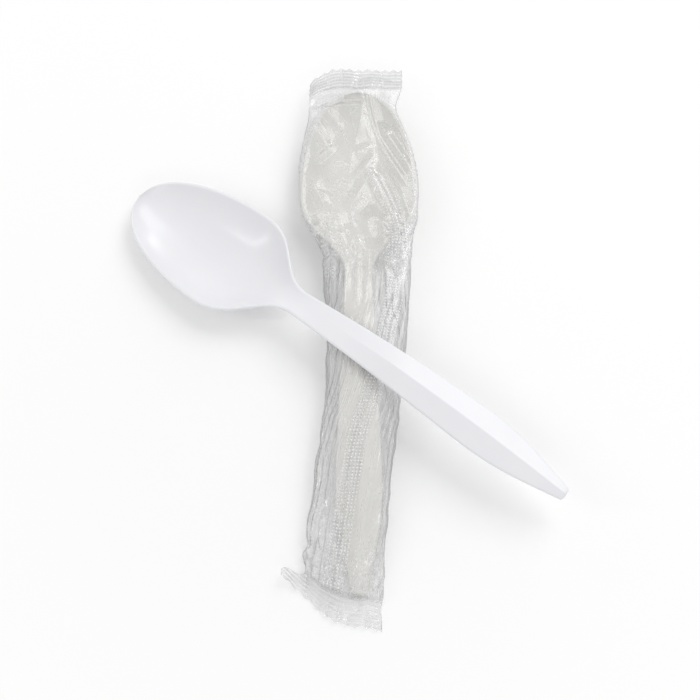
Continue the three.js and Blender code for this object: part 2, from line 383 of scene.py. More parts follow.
@dataclass(frozen=True)
class ClearFilm:
    """Thin cast polypropylene film: clear, glossy on both faces, greyer edge-on and white where creased; the
    crease whiteness is partly the film's own stress whitening and partly painted highlight.

    The veil is the faint milkiness of the film and, along creases, also painted highlight; its ripples are
    spaced in millimetres.
    """

    name: str
    face_tint: str
    edge_tint: str
    veil: str = "f6f6f6"
    face_gloss: float = 0.05
    roughness: float = 0.12
    haze: float = 0.16
    crease_whitening_and_highlight: float = 0.45
    ripple: float = 1.6
    ripple_height: float = 0.06
    ripple_strength: float = 0.2
    edge_gloss: float = 0.9
    gloss_power: float = 5.0
    tint_power: float = 1.6
    back_share: float = 0.4

    def material(self) -> bpy.types.Material:
        """Builds the film's nodes.

        Returns:
            The material.
        """
        material, tree = blank_material(self.name)
        place = add_node(tree, "ShaderNodeTexCoord").outputs["Object"]
        ripple = add_node(
            tree, "ShaderNodeTexNoise", {"Vector": place, "Scale": 1 / (self.ripple * MM), "Detail": 1.0}
        )
        bump = add_node(
            tree,
            "ShaderNodeBump",
            {
                "Height": ripple.outputs["Fac"],
                "Strength": self.ripple_strength,
                "Distance": self.ripple_height * MM,
            },
        ).outputs["Normal"]
        slant = add_node(tree, "ShaderNodeLayerWeight", {"Blend": 0.5, "Normal": bump}).outputs["Facing"]
        steep, turned = (
            add_node(tree, "ShaderNodeMath", {0: slant, 1: power}, operation="POWER").outputs[0]
            for power in (self.gloss_power, self.tint_power)
        )
        gloss = add_node(
            tree,
            "ShaderNodeMapRange",
            {"Value": steep, "To Min": self.face_gloss, "To Max": self.edge_gloss},
        ).outputs["Result"]
        tint = add_node(
            tree,
            "ShaderNodeMix",
            {"Factor": turned, "A": linear(self.face_tint), "B": linear(self.edge_tint)},
            data_type="RGBA",
        ).outputs["Result"]
        through = add_node(tree, "ShaderNodeBsdfTransparent", {"Color": tint}).outputs["BSDF"]
        mirror = add_node(
            tree,
            "ShaderNodeBsdfAnisotropic",
            {"Color": linear("ffffff"), "Roughness": self.roughness, "Normal": bump},
        ).outputs["BSDF"]
        clear = add_node(tree, "ShaderNodeMixShader", {0: gloss, 1: through, 2: mirror}).outputs[0]
        front = add_node(tree, "ShaderNodeBsdfDiffuse", {"Color": linear(self.veil)}).outputs["BSDF"]
        back = add_node(tree, "ShaderNodeBsdfTranslucent", {"Color": linear(self.veil)}).outputs["BSDF"]
        veil = add_node(tree, "ShaderNodeMixShader", {0: self.back_share, 1: front, 2: back}).outputs[0]
        # The crease mark raises the veil's share so creases turn white: partly stress whitening, partly
        # painted highlight along the creases.
        crease = add_node(tree, "ShaderNodeAttribute", attribute_name="crease").outputs["Fac"]
        haze = add_node(
            tree,
            "ShaderNodeMapRange",
            {"Value": crease, "To Min": self.haze, "To Max": self.haze + self.crease_whitening_and_highlight},
        ).outputs["Result"]
        surface = add_node(tree, "ShaderNodeMixShader", {0: haze, 1: clear, 2: veil}).outputs[0]
        add_node(tree, "ShaderNodeOutputMaterial", {"Surface": surface})
        return material


@dataclass(frozen=True)
class SpoonForm:
    """The moulded spoon in millimetres, with stations counted from the bowl's tip."""

    length: float = 147.0
    bowl_width: float = 33.0
    bowl_widest: float = 34.0
    bowl_depth: float = 6.6
    bowl_wall: float = 1.0
    bowl_nose: float = 10.6
    rim_lip: float = 0.9
    nose_width: float = 1.6
    neck_at: float = 58.5
    neck_width: float = 7.7
    grip_widest: float = 119.5
    grip_width: float = 12.3
    grip_end_width: float = 3.8
    grip_wall: float = 1.2
    ridge_height: float = 1.6
    ridge_end_height: float = 0.7
    ridge_from: float = 66.0
    ridge_full: float = 94.0
    arch_at: float = 76.0
    arch_rise: float = 1.4
    arch_fall: float = 1.7
    end_lift: float = 0.2
    ramp_before: float = 10.0
    ramp_after: float = 8.0
    bowl_taper: float = 1.3
    bowl_section: float = 2.2
    ridge_softness: float = 0.025
    edge_crowding: float = 0.15
    end_rounding: Knots = ((0.5, 0.8), (0.8, 0.4))

    def outline(self, count: int) -> tuple[Array, Array]:
        """Traces half of the plan outline, evenly spaced.

        Args:
            count: Number of points.

        Returns:
            Stations and half widths.
        """
        bowl, neck = self.bowl_width / 2, self.neck_width / 2
        grip, end = self.grip_width / 2, self.grip_end_width / 2
        shoulder = self.neck_at - self.bowl_widest
        shaft = self.grip_widest - self.neck_at
        tail = self.length - self.grip_widest
        curves = (
            (
                (0, self.nose_width / 2),
                (0, self.bowl_nose),
                (0.45 * self.bowl_widest, bowl),
                (self.bowl_widest, bowl),
            ),
            (
                (self.bowl_widest, bowl),
                (self.bowl_widest + 0.5 * shoulder, bowl),
                (self.neck_at - 0.4 * shoulder, neck),
                (self.neck_at, neck),
            ),
            (
                (self.neck_at, neck),
                (self.neck_at + 0.22 * shaft, blend(neck, grip, 0.2)),
                (self.grip_widest - 0.16 * shaft, grip),
                (self.grip_widest, grip),
            ),
            (
                (self.grip_widest, grip),
                (self.grip_widest + 0.38 * tail, grip),
                (self.length - 0.34 * tail, blend(end, grip, 0.5)),
                (self.length, end),
            ),
        )
        t = np.linspace(0, 1, 400)[:, None]
        weights = ((1 - t) ** 3, 3 * t * (1 - t) ** 2, 3 * t * t * (1 - t), t**3)
        points = np.concatenate([sum(w * np.array(p) for w, p in zip(weights, curve)) for curve in curves])
        run = np.concatenate([[0], np.cumsum(np.hypot(*np.diff(points, axis=0).T))])
        even = np.linspace(0, run[-1], count)
        return np.interp(even, run, points[:, 0]), np.interp(even, run, points[:, 1])

    def half_width(self, station: Array) -> Array:
        """Half of the width at each station; zero past either end."""
        stations, halves = self.outline(1200)
        return np.interp(station, stations, halves, left=0, right=0)

    def wall(self, station: Array) -> Array:
        """Thickness of the moulding at each station."""
        return blend(self.bowl_wall, self.grip_wall, ease(station, self.bowl_widest, self.neck_at))

    def edge_height(self, station: Array) -> Array:
        """Finds the height of the rim and of the handle's edges.

        Args:
            station: Distance from the bowl's tip.

        Returns:
            The heights.
        """
        rim = self.bowl_depth + self.bowl_wall
        rise = blend(rim, rim + self.arch_rise, ease(station, self.bowl_widest, self.arch_at))
        drop = np.clip((station - self.arch_at) / (self.length - self.arch_at), 0, 1) ** self.arch_fall
        return blend(rise, self.grip_wall + self.end_lift, drop)

    def ridge(self, station: Array) -> Array:
        """Height of the ridge along the middle of the handle."""
        full = blend(self.ridge_height, self.ridge_end_height, ease(station, self.grip_widest, self.length))
        return full * ease(station, self.ridge_from, self.ridge_full)

    def fullness(self, half: Array) -> Array:
        """Share of the bowl's depth that a section of this half width has."""
        return (half / (self.bowl_width / 2)) ** self.bowl_taper

    def top(self, station: Array, half: Array, across: Array) -> Array:
        """Height of the upper surface.

        Args:
            station: Distance from the bowl's tip.
            half: Half width there.
            across: Place across, from -1 to 1.

        Returns:
            The heights.
        """
        side = np.abs(across)
        inside = np.minimum(1, side / np.maximum(1 - self.rim_lip / np.maximum(half, 0.1), 0.4))
        ramp = fall(station, self.neck_at - self.ramp_before, self.neck_at + self.ramp_after)
        hollow = self.bowl_depth * self.fullness(half) * ramp * (1 - inside**self.bowl_section)
        soft = np.sqrt(side**2 + self.ridge_softness**2) - self.ridge_softness
        return self.edge_height(station) - hollow + self.ridge(station) * (1 - soft)

    def skin(self, stations: int, across: int) -> tuple[Array, list[tuple[int, ...]]]:
        """Makes the closed skin with rounded edges, lying along X with its middle at the origin.

        Args:
            stations: Rings along the spoon.
            across: Points from the middle to one edge.

        Returns:
            Points and faces.
        """
        station, half = (v[:, None] for v in self.outline(stations))
        radius = self.wall(station) / 2
        inner = half - radius
        even = np.linspace(-1, 1, 2 * across + 1)[None, :]
        share = even - self.edge_crowding * np.sin(2 * np.pi * even)
        upper = self.top(station, half, share * inner / half)
        turn = np.linspace(np.pi / 2, -np.pi / 2, 9)[None, 1:-1]
        rim = self.top(station, half, inner / half) - radius
        right = np.stack([inner + radius * np.cos(turn), rim + radius * np.sin(turn)], 2)
        left = np.stack([-right[:, ::-1, 0], right[:, ::-1, 1]], 2)
        over = np.stack([share * inner, upper], 2)
        under = np.stack([over[:, ::-1, 0], over[:, ::-1, 1] - 2 * radius], 2)
        ring = np.concatenate([over, right, under, left], 1)
        count = ring.shape[1]
        middle = ring.mean(1, keepdims=True)

        def shrunk(end: int, out: float, keep: float) -> tuple[float, Array]:
            """Gives a smaller ring a little past the tip, end 0, or the handle's end, -1."""
            past = out if end else -out
            return station[end, 0] + past * radius[end, 0], middle[end] + (ring[end] - middle[end]) * keep

        rings = [shrunk(0, *step) for step in reversed(self.end_rounding)]
        rings += [(station[i, 0], ring[i]) for i in range(stations)]
        rings += [shrunk(-1, *step) for step in self.end_rounding]
        points = np.concatenate(
            [np.column_stack([np.full(count, place - self.length / 2), loop]) for place, loop in rings]
        )
        faces = [
            (i + k, i + count + k, i + count + (k + 1) % count, i + (k + 1) % count)
            for i in range(0, (len(rings) - 1) * count, count)
            for k in range(count)
        ]
        last = (len(rings) - 1) * count
        faces.append(tuple(range(count)))
        faces.append(tuple(last + k for k in reversed(range(count))))
        return points, faces


@dataclass(frozen=True)
class PlacedSpoon:
    """A spoon where it lies in the pack, in millimetres and radians."""

    form: SpoonForm
    node: Node
    slot: Slot
    finish: SpoonPlastic
    middle: Pair
    heading: float
    pitch: float
    lift: float
    stations: int = 240
    across: int = 28
    least_half: float = 0.5

    def to_pack(self, points: Array) -> Array:
        """Turns points on the spoon into the pack's frame.

        Args:
            points: Rows of places along the spoon from its middle, across it and up.

        Returns:
            Rows of x, y and z.
        """
        u, t, w = points.T
        x = u * math.cos(self.pitch) - w * math.sin(self.pitch)
        z = u * math.sin(self.pitch) + w * math.cos(self.pitch)
        return np.column_stack(
            [
                self.middle[0] + x * math.cos(self.heading) - t * math.sin(self.heading),
                self.middle[1] + x * math.sin(self.heading) + t * math.cos(self.heading),
                z + self.lift,
            ]
        )

    def heights(self, x: Array, y: Array, room: float) -> tuple[Array, Array, Array]:
        """Finds the spoon's surfaces over places in plan.

        Args:
            x: Places in the pack.
            y: Places in the pack.
            room: How far past its edge the spoon still counts.

        Returns:
            Heights of the upper surface and of the underside, and whether the spoon is there.
        """
        dx, dy = x - self.middle[0], y - self.middle[1]
        along = dx * math.cos(self.heading) + dy * math.sin(self.heading)
        side = dy * math.cos(self.heading) - dx * math.sin(self.heading)
        usual_height = 0.8 * self.form.bowl_depth
        u = (along + usual_height * math.sin(self.pitch)) / math.cos(self.pitch)
        station = np.clip(u + self.form.length / 2, 0, self.form.length)
        half = self.form.half_width(station)
        wide = np.maximum(half, self.least_half)
        over = np.abs(u) <= self.form.length / 2 + room
        local = self.form.top(station, wide, np.clip(side / wide, -1, 1))
        upper = u * math.sin(self.pitch) + local * math.cos(self.pitch) + self.lift
        return upper, upper - self.form.wall(station), over & (np.abs(side) <= half + room)

    def build(self) -> bpy.types.Object:
        """Makes the spoon, dresses it and puts it on its body.

        Returns:
            The piece.
        """
        points, faces = self.form.skin(self.stations, self.across)
        piece = mesh_object(f"{self.node.value}_moulding", self.to_pack(points), faces)
        piece.data.materials.append(self.finish.material())
        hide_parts(self.node.value)
        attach(piece, "root")
        return piece


@dataclass(frozen=True)
class Crease:
    """A straight crease in the film over the bowl, in millimetres."""

    start: Pair
    end: Pair
    width: float
    height: float

    def lift(self, x: Array, y: Array) -> Array:
        """Finds the height that the crease adds.

        Args:
            x: Places across the pack.
            y: Places along the pack.

        Returns:
            The heights there.
        """
        run = np.subtract(self.end, self.start)
        reach = float(np.hypot(*run))
        fading, least = 0.35 * reach, 0.4
        along = ((x - self.start[0]) * run[0] + (y - self.start[1]) * run[1]) / reach
        side = ((y - self.start[1]) * run[0] - (x - self.start[0]) * run[1]) / reach
        fade = np.clip(np.minimum(along, reach - along) / fading + least, 0, 1)
        return self.height * fade * np.clip(1 - np.abs(side) / self.width, 0, 1)


@dataclass(frozen=True)
class FacetSize:
    """One size of facet, with its height over each stretch of the sleeve in millimetres."""

    facets: Facets
    bowl: float = 0.0
    neck: float = 0.0
    handle: float = 0.0
    tail: float = 0.0


@dataclass(frozen=True)
class Pleats:
    """Streaks and leaning pleats that gather the film along the handle, in millimetres."""

    pitch: float = 2.3
    height: float = 1.15
    fine_pitch: float = 1.7
    fine_height: float = 0.35
    fine_drift: float = 1.3
    fine_start: float = 0.4
    streak_height: float = 0.36
    fine_streak: float = 0.45
    least_streak: float = 0.25
    drift: float = 0.9
    slant: float = 0.012
    phases: tuple[float, ...] = (0, 0.5, 0.72, 1)
    leans: tuple[float, ...] = (0, 0.78, 0.5, 1)
    rises: tuple[float, ...] = (0, 1, 0.45, 0)
    drifts: SmoothNoise = SmoothNoise(31, 14, 46)
    pulses: SmoothNoise = SmoothNoise(41, 3.0, 22)
    streaks: SmoothNoise = SmoothNoise(42, 1.05, 16)
    fine_streaks: SmoothNoise = SmoothNoise(43, 0.55, 9)

    def streak_lift(self, around: Array, along: Array, patch: Array) -> Array:
        """Height of the streaks, which are stronger where the film is crumpled."""
        streak = self.streaks.at(around, along) + self.fine_streak * self.fine_streaks.at(around, along)
        return self.streak_height * streak * (self.least_streak + patch)

    def fold(self, around: Array, along: Array, gather: Array) -> tuple[Array, Array]:
        """Folds the gathered film over.

        Args:
            around: Places round the sleeve, from the fin's root.
            along: Places along the pack.
            gather: How far the film is gathered there, from 0 to 1.

        Returns:
            Lift along the outward normal and push along the section.
        """
        drift = self.drift * self.drifts.at(around, along) + self.slant * along
        phase = (around / self.pitch + drift) % 1
        lean = np.interp(phase, self.phases, self.leans) - phase
        rise = np.interp(phase, self.phases, self.rises)
        fine_phase = (around / self.fine_pitch + self.fine_drift * drift + self.fine_start) % 1
        fine = np.abs(fine_phase - 0.5) * 2
        pulse = 0.5 + 0.5 * self.pulses.at(around, along)
        lift = gather * (self.height * pulse * rise + self.fine_height * (1 - pulse) * fine)
        return lift, self.pitch * gather * pulse * lean


@dataclass(frozen=True)
class Crimp:
    """Waves, creases and ribs of the pressed ends, in millimetres; a pair is for the upper and the lower."""

    wave_height: float = 0.55
    crease_height: float = 0.5
    crease_rest: float = 0.2
    rib_pitch: float = 1.35
    rib_height: float = 0.13
    rib_shares: Pair = (0.4, 1.0)
    lowest: Pair = (-5.0, -0.45)
    waves: SmoothNoise = SmoothNoise(51, 4.2, 9.0)
    creases: SmoothNoise = SmoothNoise(52, 2.6, 5.0)

    def relief(self, x: Array, y: Array) -> Array:
        """Finds the height of the pressed film.

        Args:
            x: Places across the pack.
            y: Places along the pack.

        Returns:
            The heights there.
        """
        ripple = self.wave_height * self.waves.at(x, y)
        ripple += self.crease_height * np.abs(self.creases.at(x, y)) - self.crease_rest
        ribs = np.where(y > 0, *self.rib_shares) * self.rib_height * np.sin(2 * np.pi * y / self.rib_pitch)
        return np.maximum(ripple + ribs, np.where(y > 0, *self.lowest))


@dataclass
class FilmSleeve:
    """The flow-wrapped sleeve: one sheet folded round the spoon, lapped in a fin and crimped at both ends.

    Sizes are in millimetres. LEFT, RIGHT and FIN hold the place along the pack and then across it, and the
    two edge tables the other way round. A pair is where a fade starts and ends: along the pack if it is
    named _in or _out, and otherwise from the neck, ridge, fin, root or end that it is named for. The
    root_limits and fold_hold are shares of the half width. The wander is for the left and the right edge,
    and a crease pair is for the handle and the bowl.
    """

    inside: PlacedSpoon
    above: PlacedSpoon
    finish: ClearFilm
    lap_finish: ClearFilm
    seal_finish: ClearFilm
    girth: float = 70.0
    fin_width: float = 6.0
    cut_length: float = 169.0
    top_y: float = 85.0
    bottom_y: float = -78.0
    top_seal: float = 7.5
    bottom_seal: float = 7.0
    seal_start: float = 1.5
    seal_firm: float = 0.3
    seal_drop: float = 2.6
    seal_gap: float = 0.12
    seal_rest: float = 0.55
    crimp_margin: float = 2.0
    pink_pitch: float = 2.6
    pink_depth: float = 0.8
    pink_reach: float = 1.4
    ear_rise: float = 3.4
    ear_curl: float = 1.4
    ear_fold: float = 1.2
    clearance: float = 0.14
    slack: float = 0.35
    floor: float = 0.2
    belly_room: float = 0.5
    belly_fill: float = 1.35
    fold_height: float = 0.42
    fold_drop: float = 0.4
    fold_calm: float = 0.65
    section_power: float = 2.4
    sealed_power: float = 8.0
    wander: Pair = (0.35, 0.25)
    least_crush: float = 0.4
    least_gather: float = 0.35
    ridge_gather: float = 0.25
    below_gather: float = 0.8
    mirror_about: float = 9.0
    mirror_share: float = 0.25
    lap_wave: float = 0.1
    lap_squeeze: float = 0.7
    columns: int = 176
    section_points: int = 90
    row_step: float = 0.46
    crimp_step: float = 0.45
    fin_columns: int = 14
    bowl_in: Pair = (32, 40)
    bowl_out: Pair = (72, 77)
    rim_in: Pair = (30, 40)
    rim_out: Pair = (66, 76)
    neck_in: Pair = (14, 22)
    neck_out: Pair = (32, 38)
    handle_out: Pair = (18, 34)
    tail_out: Pair = (-62, -42)
    crush_in: Pair = (-74, -69)
    crush_out: Pair = (-66, -56)
    ear_across: Pair = (-15.2, -10.4)
    ear_above: Pair = (4, 9)
    bowl_end: Pair = (-12, 14)
    root_limits: Pair = (-0.8, 0.9)
    beside_neck: Pair = (5.0, 8.0)
    beside_ridge: Pair = (3.0, 7.0)
    beside_fin: Pair = (0.5, 3.5)
    before_root: Pair = (2.5, 0.5)
    root_hold: Pair = (0.4, 2.0)
    fold_hold: Pair = (0.86, 1.0)
    crease_least: Pair = (0.04, 0.018)
    crease_span: Pair = (0.3, 0.12)
    pleats: Pleats = Pleats()
    crimp: Crimp = Crimp()
    wanders: SmoothNoise = SmoothNoise(5, 9, 3.4)
    patches: SmoothNoise = SmoothNoise(21, 9, 14)
    lap_waves: SmoothNoise = SmoothNoise(61, 2.5, 6)

    LEFT: Knots = (
        (85, -9.1), (78, -9.2), (67, -9.6), (60, -10.7), (54, -11.7), (47, -12.0), (41, -11.9),
        (35, -10.8), (29, -7.7), (24, -5.4), (17, -4.6), (8, -4.0), (-3, -3.7), (-18, -4.2),
        (-30, -5.4), (-41, -6.9), (-49, -7.8), (-55, -8.9), (-61, -8.5), (-66, -9.3), (-70, -9.1),
        (-72, -10.2), (-74, -13.4), (-76, -15.0), (-78, -15.2),
    )
    RIGHT: Knots = (
        (85, 18.1), (77, 17.8), (71, 16.2), (66, 17.6), (60, 19.8), (54, 21.2), (47, 22.1), (41, 22.2),
        (34, 21.6), (27, 20.3), (17, 19.5), (10, 19.0), (-1, 18.2), (-18, 16.1), (-30, 15.1),
        (-41, 13.8), (-50, 12.9), (-60, 11.8), (-68, 11.2), (-78, 10.8),
    )
    FIN: Knots = (
        (85, 3.0), (69, 5.0), (57, 7.9), (50, 9.4), (42, 12.9), (32, 15.6), (23, 16.2), (12, 15.0),
        (2, 13.0), (-14, 9.9), (-31, 4.6), (-42, 2.7), (-52, 1.1), (-63, -0.7), (-69, -1.7), (-78, -3.0),
    )
    TOP_EDGE: Knots = ((-9.1, 81.0), (-4.7, 84.5), (5.7, 85.3), (18.1, 85.0))
    BOTTOM_EDGE: Knots = (
        (-15.2, -68.2), (-10.3, -71.0), (-5.1, -76.0), (0.1, -79.2), (6.6, -80.2), (10.8, -81.2),
    )
    LARGE: FacetSize = FacetSize(Facets(11, 8.5), bowl=0.4, handle=0.14)
    MEDIUM: FacetSize = FacetSize(Facets(12, 4.2), bowl=0.2, neck=0.34, handle=0.1, tail=0.28)
    SMALL: FacetSize = FacetSize(Facets(13, 2.1), neck=0.22, handle=0.04, tail=0.42)
    TINY: FacetSize = FacetSize(Facets(14, 1.25), neck=0.42, tail=0.42)
    CREASES: tuple[Crease, ...] = (
        Crease((3.0, 37.8), (8.9, 49.0), 3.2, 0.9),
        Crease((8.9, 49.0), (14.5, 38.0), 2.8, 0.8),
        Crease((4.8, 47.2), (9.8, 54.3), 2.4, 0.7),
        Crease((12.0, 63.8), (20.0, 50.0), 2.0, 0.7),
        Crease((9.5, 61.0), (18.5, 45.5), 1.6, 0.5),
        Crease((7.1, 50.5), (17.0, 31.3), 2.2, 0.8),
        Crease((-1.6, 51.6), (1.8, 51.3), 1.0, 0.35),
        Crease((-8.5, 66.0), (-3.0, 56.0), 2.0, 0.6),
        Crease((-5.5, 71.5), (0.5, 63.0), 2.2, 0.6),
        Crease((-6.5, 53.5), (-2.0, 57.5), 1.6, 0.5),
        Crease((-5.0, 29.5), (1.5, 22.0), 1.8, 0.8),
        Crease((17.5, 31.0), (10.0, 19.5), 1.8, 0.8),
        Crease((-0.5, 46.0), (3.0, 44.5), 1.4, 0.4),
        Crease((-8.0, 46.5), (-4.5, 38.0), 2.2, 0.5),
    )

    def rows(self) -> Array:
        """Spaces the rows down the sleeve, closer together in the crimps.

        Returns:
            Places of the rows along the pack, from the top.
        """
        fine = self.row_step * self.crimp_step
        top = np.arange(self.top_y, self.top_y - self.top_seal - self.crimp_margin, -fine)
        bottom = np.arange(self.bottom_y + self.bottom_seal + self.crimp_margin, self.bottom_y, -fine)
        middle = np.linspace(top[-1], bottom[0], int((top[-1] - bottom[0]) / self.row_step))
        return np.concatenate([top, middle[1:-1], bottom, [self.bottom_y]])

    def seal_share(self, y: Array) -> Array:
        """Finds how far the two layers are pressed together.

        Args:
            y: Places along the pack.

        Returns:
            Shares from 0 to 1.
        """
        top, bottom = self.top_y - self.top_seal, self.bottom_y + self.bottom_seal
        return np.maximum(
            ease(y, top - self.seal_start, top + self.seal_firm),
            fall(y, bottom - self.seal_firm, bottom + self.seal_start),
        )

    def sides(self, y: Array) -> tuple[Array, Array]:
        """Finds the sleeve's left and right edges, which wander except beside the bowl.

        Args:
            y: Places of the rows.

        Returns:
            Places of the left and of the right edge across the pack.
        """
        noise, elsewhere = self.wanders, 200.0
        calm = 1 - ease(y, *self.rim_in) * fall(y, *self.rim_out)
        left = Profile(self.LEFT).at(y) + self.wander[0] * calm * noise.at(np.zeros_like(y), y)
        right = Profile(self.RIGHT).at(y) + self.wander[1] * calm * noise.at(np.full_like(y, elsewhere), y)
        return left, right

    def levels(self, y: Array, seal: Array) -> tuple[Array, Array, Array, Array]:
        """Sets the heights of the plain section at each row.

        Args:
            y: Places of the rows.
            seal: How far the two layers are pressed together there.

        Returns:
            Heights of the top, of the folds at the sides and of the underside, and how far each row is on
            the bowl.
        """
        form = self.inside.form
        station = np.clip(self.inside.middle[1] + form.length / 2 - y, 0, form.length)
        edge = form.edge_height(station) + self.inside.lift
        crest = edge + form.ridge(station) + self.slack
        bowl = fall(station, *(form.neck_at + place for place in self.bowl_end))
        side = blend(self.fold_height * crest, edge - self.fold_drop * form.bowl_wall, bowl)
        belly = edge - form.bowl_depth * form.fullness(form.half_width(station)) - form.bowl_wall
        lowest = np.maximum(self.floor, belly - self.belly_room)
        floor = np.where(station < form.bowl_widest, lowest, self.floor)
        tip = self.inside.lift + form.bowl_depth + 0.5 * form.bowl_wall
        droop = self.seal_drop * ease(y, self.top_y - self.top_seal - self.crimp_margin, self.top_y)
        middle = np.where(y > 0, tip - droop, self.seal_rest)
        crest = blend(crest, middle + self.seal_gap / 2, seal)
        floor = blend(floor, middle - self.seal_gap / 2, seal)
        return crest, blend(side, middle, seal), floor, bowl

    def sections(self, y: Array) -> tuple[Array, Array, Array, Array]:
        """Lays the sleeve's plain section at each row.

        Args:
            y: Places of the rows.

        Returns:
            For each row and column the x and z, a facing that is 1 above and -1 below, and the run from
            the fin's root.
        """
        left, right = self.sides(y)
        centre, half = (left + right) / 2, (right - left) / 2
        seal = self.seal_share(y)
        crest, side, floor, bowl = (v[:, None] for v in self.levels(y, seal))
        root = (Profile(self.FIN).at(y) + self.fin_width / 2 - centre) / half
        count = self.section_points
        turn = np.linspace(0, np.pi, count)[None, :]
        starts = np.arccos(np.clip(root, *self.root_limits))[:, None]
        first = np.cos(blend(starts, np.pi, turn / np.pi))
        under = -np.cos(turn) * np.ones_like(starts)
        final = np.cos(blend(0, starts, turn / np.pi))
        across = np.concatenate([first, under[:, 1:], final[:, 1:]], 1)
        facing = np.repeat((1.0, -1.0, 1.0), (count, count - 1, count - 1)) * np.ones_like(starts)
        power = blend(self.section_power, self.sealed_power, seal)[:, None]
        bulge = np.maximum(0, 1 - np.abs(across) ** power) ** (1 / power)
        hugging = 1 - np.abs(across) ** self.inside.form.bowl_section
        sag = blend(np.minimum(1, self.belly_fill * bulge), hugging, bowl * (1 - seal[:, None]))
        x = centre[:, None] + half[:, None] * across
        z = np.where(facing > 0, side + (crest - side) * bulge, side - (side - floor) * sag)
        steps = np.hypot(np.diff(x, axis=1), np.diff(z, axis=1))
        run = np.concatenate([np.zeros((len(y), 1)), np.cumsum(steps, 1)], 1)
        even = np.linspace(0, 1, self.columns)
        x, z, facing = (
            np.stack([np.interp(even * r[-1], r, v) for r, v in zip(run, values)])
            for values in (x, z, facing)
        )
        return x, z, np.sign(facing + 1e-9), even[None, :] * run[:, -1:]

    def facet_lift(self, y: Array, patch: Array, off_axis: Array) -> Array:
        """Finds the height of the facets, which are large over the bowl and small where film is crushed.

        Args:
            y: Places of the rows.
            patch: How strongly each point is crumpled, from 0 to 1.
            off_axis: Distance of each point from the spoon's middle line.

        Returns:
            The heights, in millimetres.
        """
        around, row = np.linspace(0, self.girth, self.columns), y[:, None]
        sizes = (self.LARGE, self.MEDIUM, self.SMALL, self.TINY)
        large, medium, small, tiny = (s.facets.heights(around, y[::-1])[::-1] for s in sizes)
        bowl = ease(row, *self.bowl_in) * fall(row, *self.bowl_out)
        neck = ease(row, *self.neck_in) * fall(row, *self.neck_out)
        handle, tail = fall(row, *self.handle_out), fall(row, *self.tail_out)
        lift = large * (self.LARGE.bowl * bowl + self.LARGE.handle * (1 - bowl))
        size = self.MEDIUM
        lift += medium * (
            size.bowl * bowl * patch + size.neck * neck + (size.handle + size.tail * tail) * handle
        )
        size = self.SMALL
        lift += small * patch * (size.neck * neck + (size.handle + size.tail * tail) * handle)
        size = self.TINY
        beside = size.neck * neck * ease(off_axis, *self.beside_neck)
        crushed = size.tail * fall(row, *self.crush_out) * ease(row, *self.crush_in)
        return lift + tiny * (beside + crushed) * (self.least_crush + patch)

    def crumple(self, y: Array, x: Array, facing: Array) -> tuple[Array, Array]:
        """Works out how far facets, creases and pleats lift the film and push it sideways.

        Args:
            y: Places of the rows.
            x: Plain place of each point across the pack.
            facing: 1 above and -1 below.

        Returns:
            Lift along the outward normal and push along the section, in millimetres.
        """
        around, along = np.meshgrid(np.linspace(0, self.girth, self.columns), y)
        patch = 0.5 + 0.5 * self.patches.at(around, along)
        off_axis = np.abs(x - self.inside.middle[0])
        handle = fall(along, *self.handle_out)
        on_top = blend(self.ridge_gather, 1.0, ease(off_axis, *self.beside_ridge))
        gather = handle * np.where(facing > 0, on_top, self.below_gather)
        gather *= ease(around, *(self.fin_width + reach for reach in self.beside_fin))
        gather *= fall(around, *(self.girth - reach for reach in self.before_root))
        lift, push = self.pleats.fold(around, along, gather * blend(self.least_gather, 1.0, patch))
        lift += handle * self.pleats.streak_lift(around, along, patch)
        lift += self.facet_lift(y, patch, off_axis)
        above = sum(c.lift(x, along) for c in self.CREASES)
        below = self.mirror_share * sum(c.lift(self.mirror_about - x, along) for c in self.CREASES)
        lift += np.where(facing > 0, above, below)
        fold = np.abs(2 * (x - x.min(1, keepdims=True)) / np.ptp(x, axis=1)[:, None] - 1)
        hold = (1 - self.seal_share(y)[:, None]) * (1 - self.fold_calm * ease(fold, *self.fold_hold))
        hold *= ease(around, *self.root_hold) * ease(self.girth - around, *self.root_hold)
        return lift * hold, push * hold

    def settle(self, points: Array, facing: Array) -> Array:
        """Keeps the film outside the spoon in it, under the spoon on it and above the table.

        Args:
            points: Rows and columns of x, y and z.
            facing: 1 above and -1 below.

        Returns:
            The points, moved up or down where they have to be.
        """
        beside, beyond, under_loose, table = 0.25, 0.4, 3.2 * self.clearance, 0.04
        x, y, z = points[..., 0], points[..., 1], points[..., 2]
        upper, under, inside = self.inside.heights(x, y, beside)
        z = np.where(inside & (facing > 0), np.maximum(z, upper + self.clearance), z)
        z = np.where(inside & (facing < 0), np.minimum(z, under - self.clearance), z)
        _, under, covered = self.above.heights(x, y, beyond)
        z = np.where(covered, np.minimum(z, under - under_loose), z)
        return np.stack([x, y, np.maximum(z, table)], 2)

    def edge_shift(self, x: Array, y: Array) -> Array:
        """Turns straight rows into the slanted, pinked ends.

        Args:
            x: Place of each point across the pack.
            y: Place of each row.

        Returns:
            How far each point moves along the pack.
        """
        row, top_from, bottom_from = y[:, None], 58, -46
        tooth = self.pink_depth * (np.abs((x / self.pink_pitch) % 1 - 0.5) * 2 - 0.5)
        top = ease(row, top_from, self.top_y) * (Profile(self.TOP_EDGE).at(x) - self.top_y)
        top = top + tooth * ease(row, self.top_y - self.pink_reach, self.top_y)
        bottom = fall(row, self.bottom_y, bottom_from) * (Profile(self.BOTTOM_EDGE).at(x) - self.bottom_y)
        bottom = bottom + tooth * fall(row, self.bottom_y, self.bottom_y + self.pink_reach)
        return top + bottom

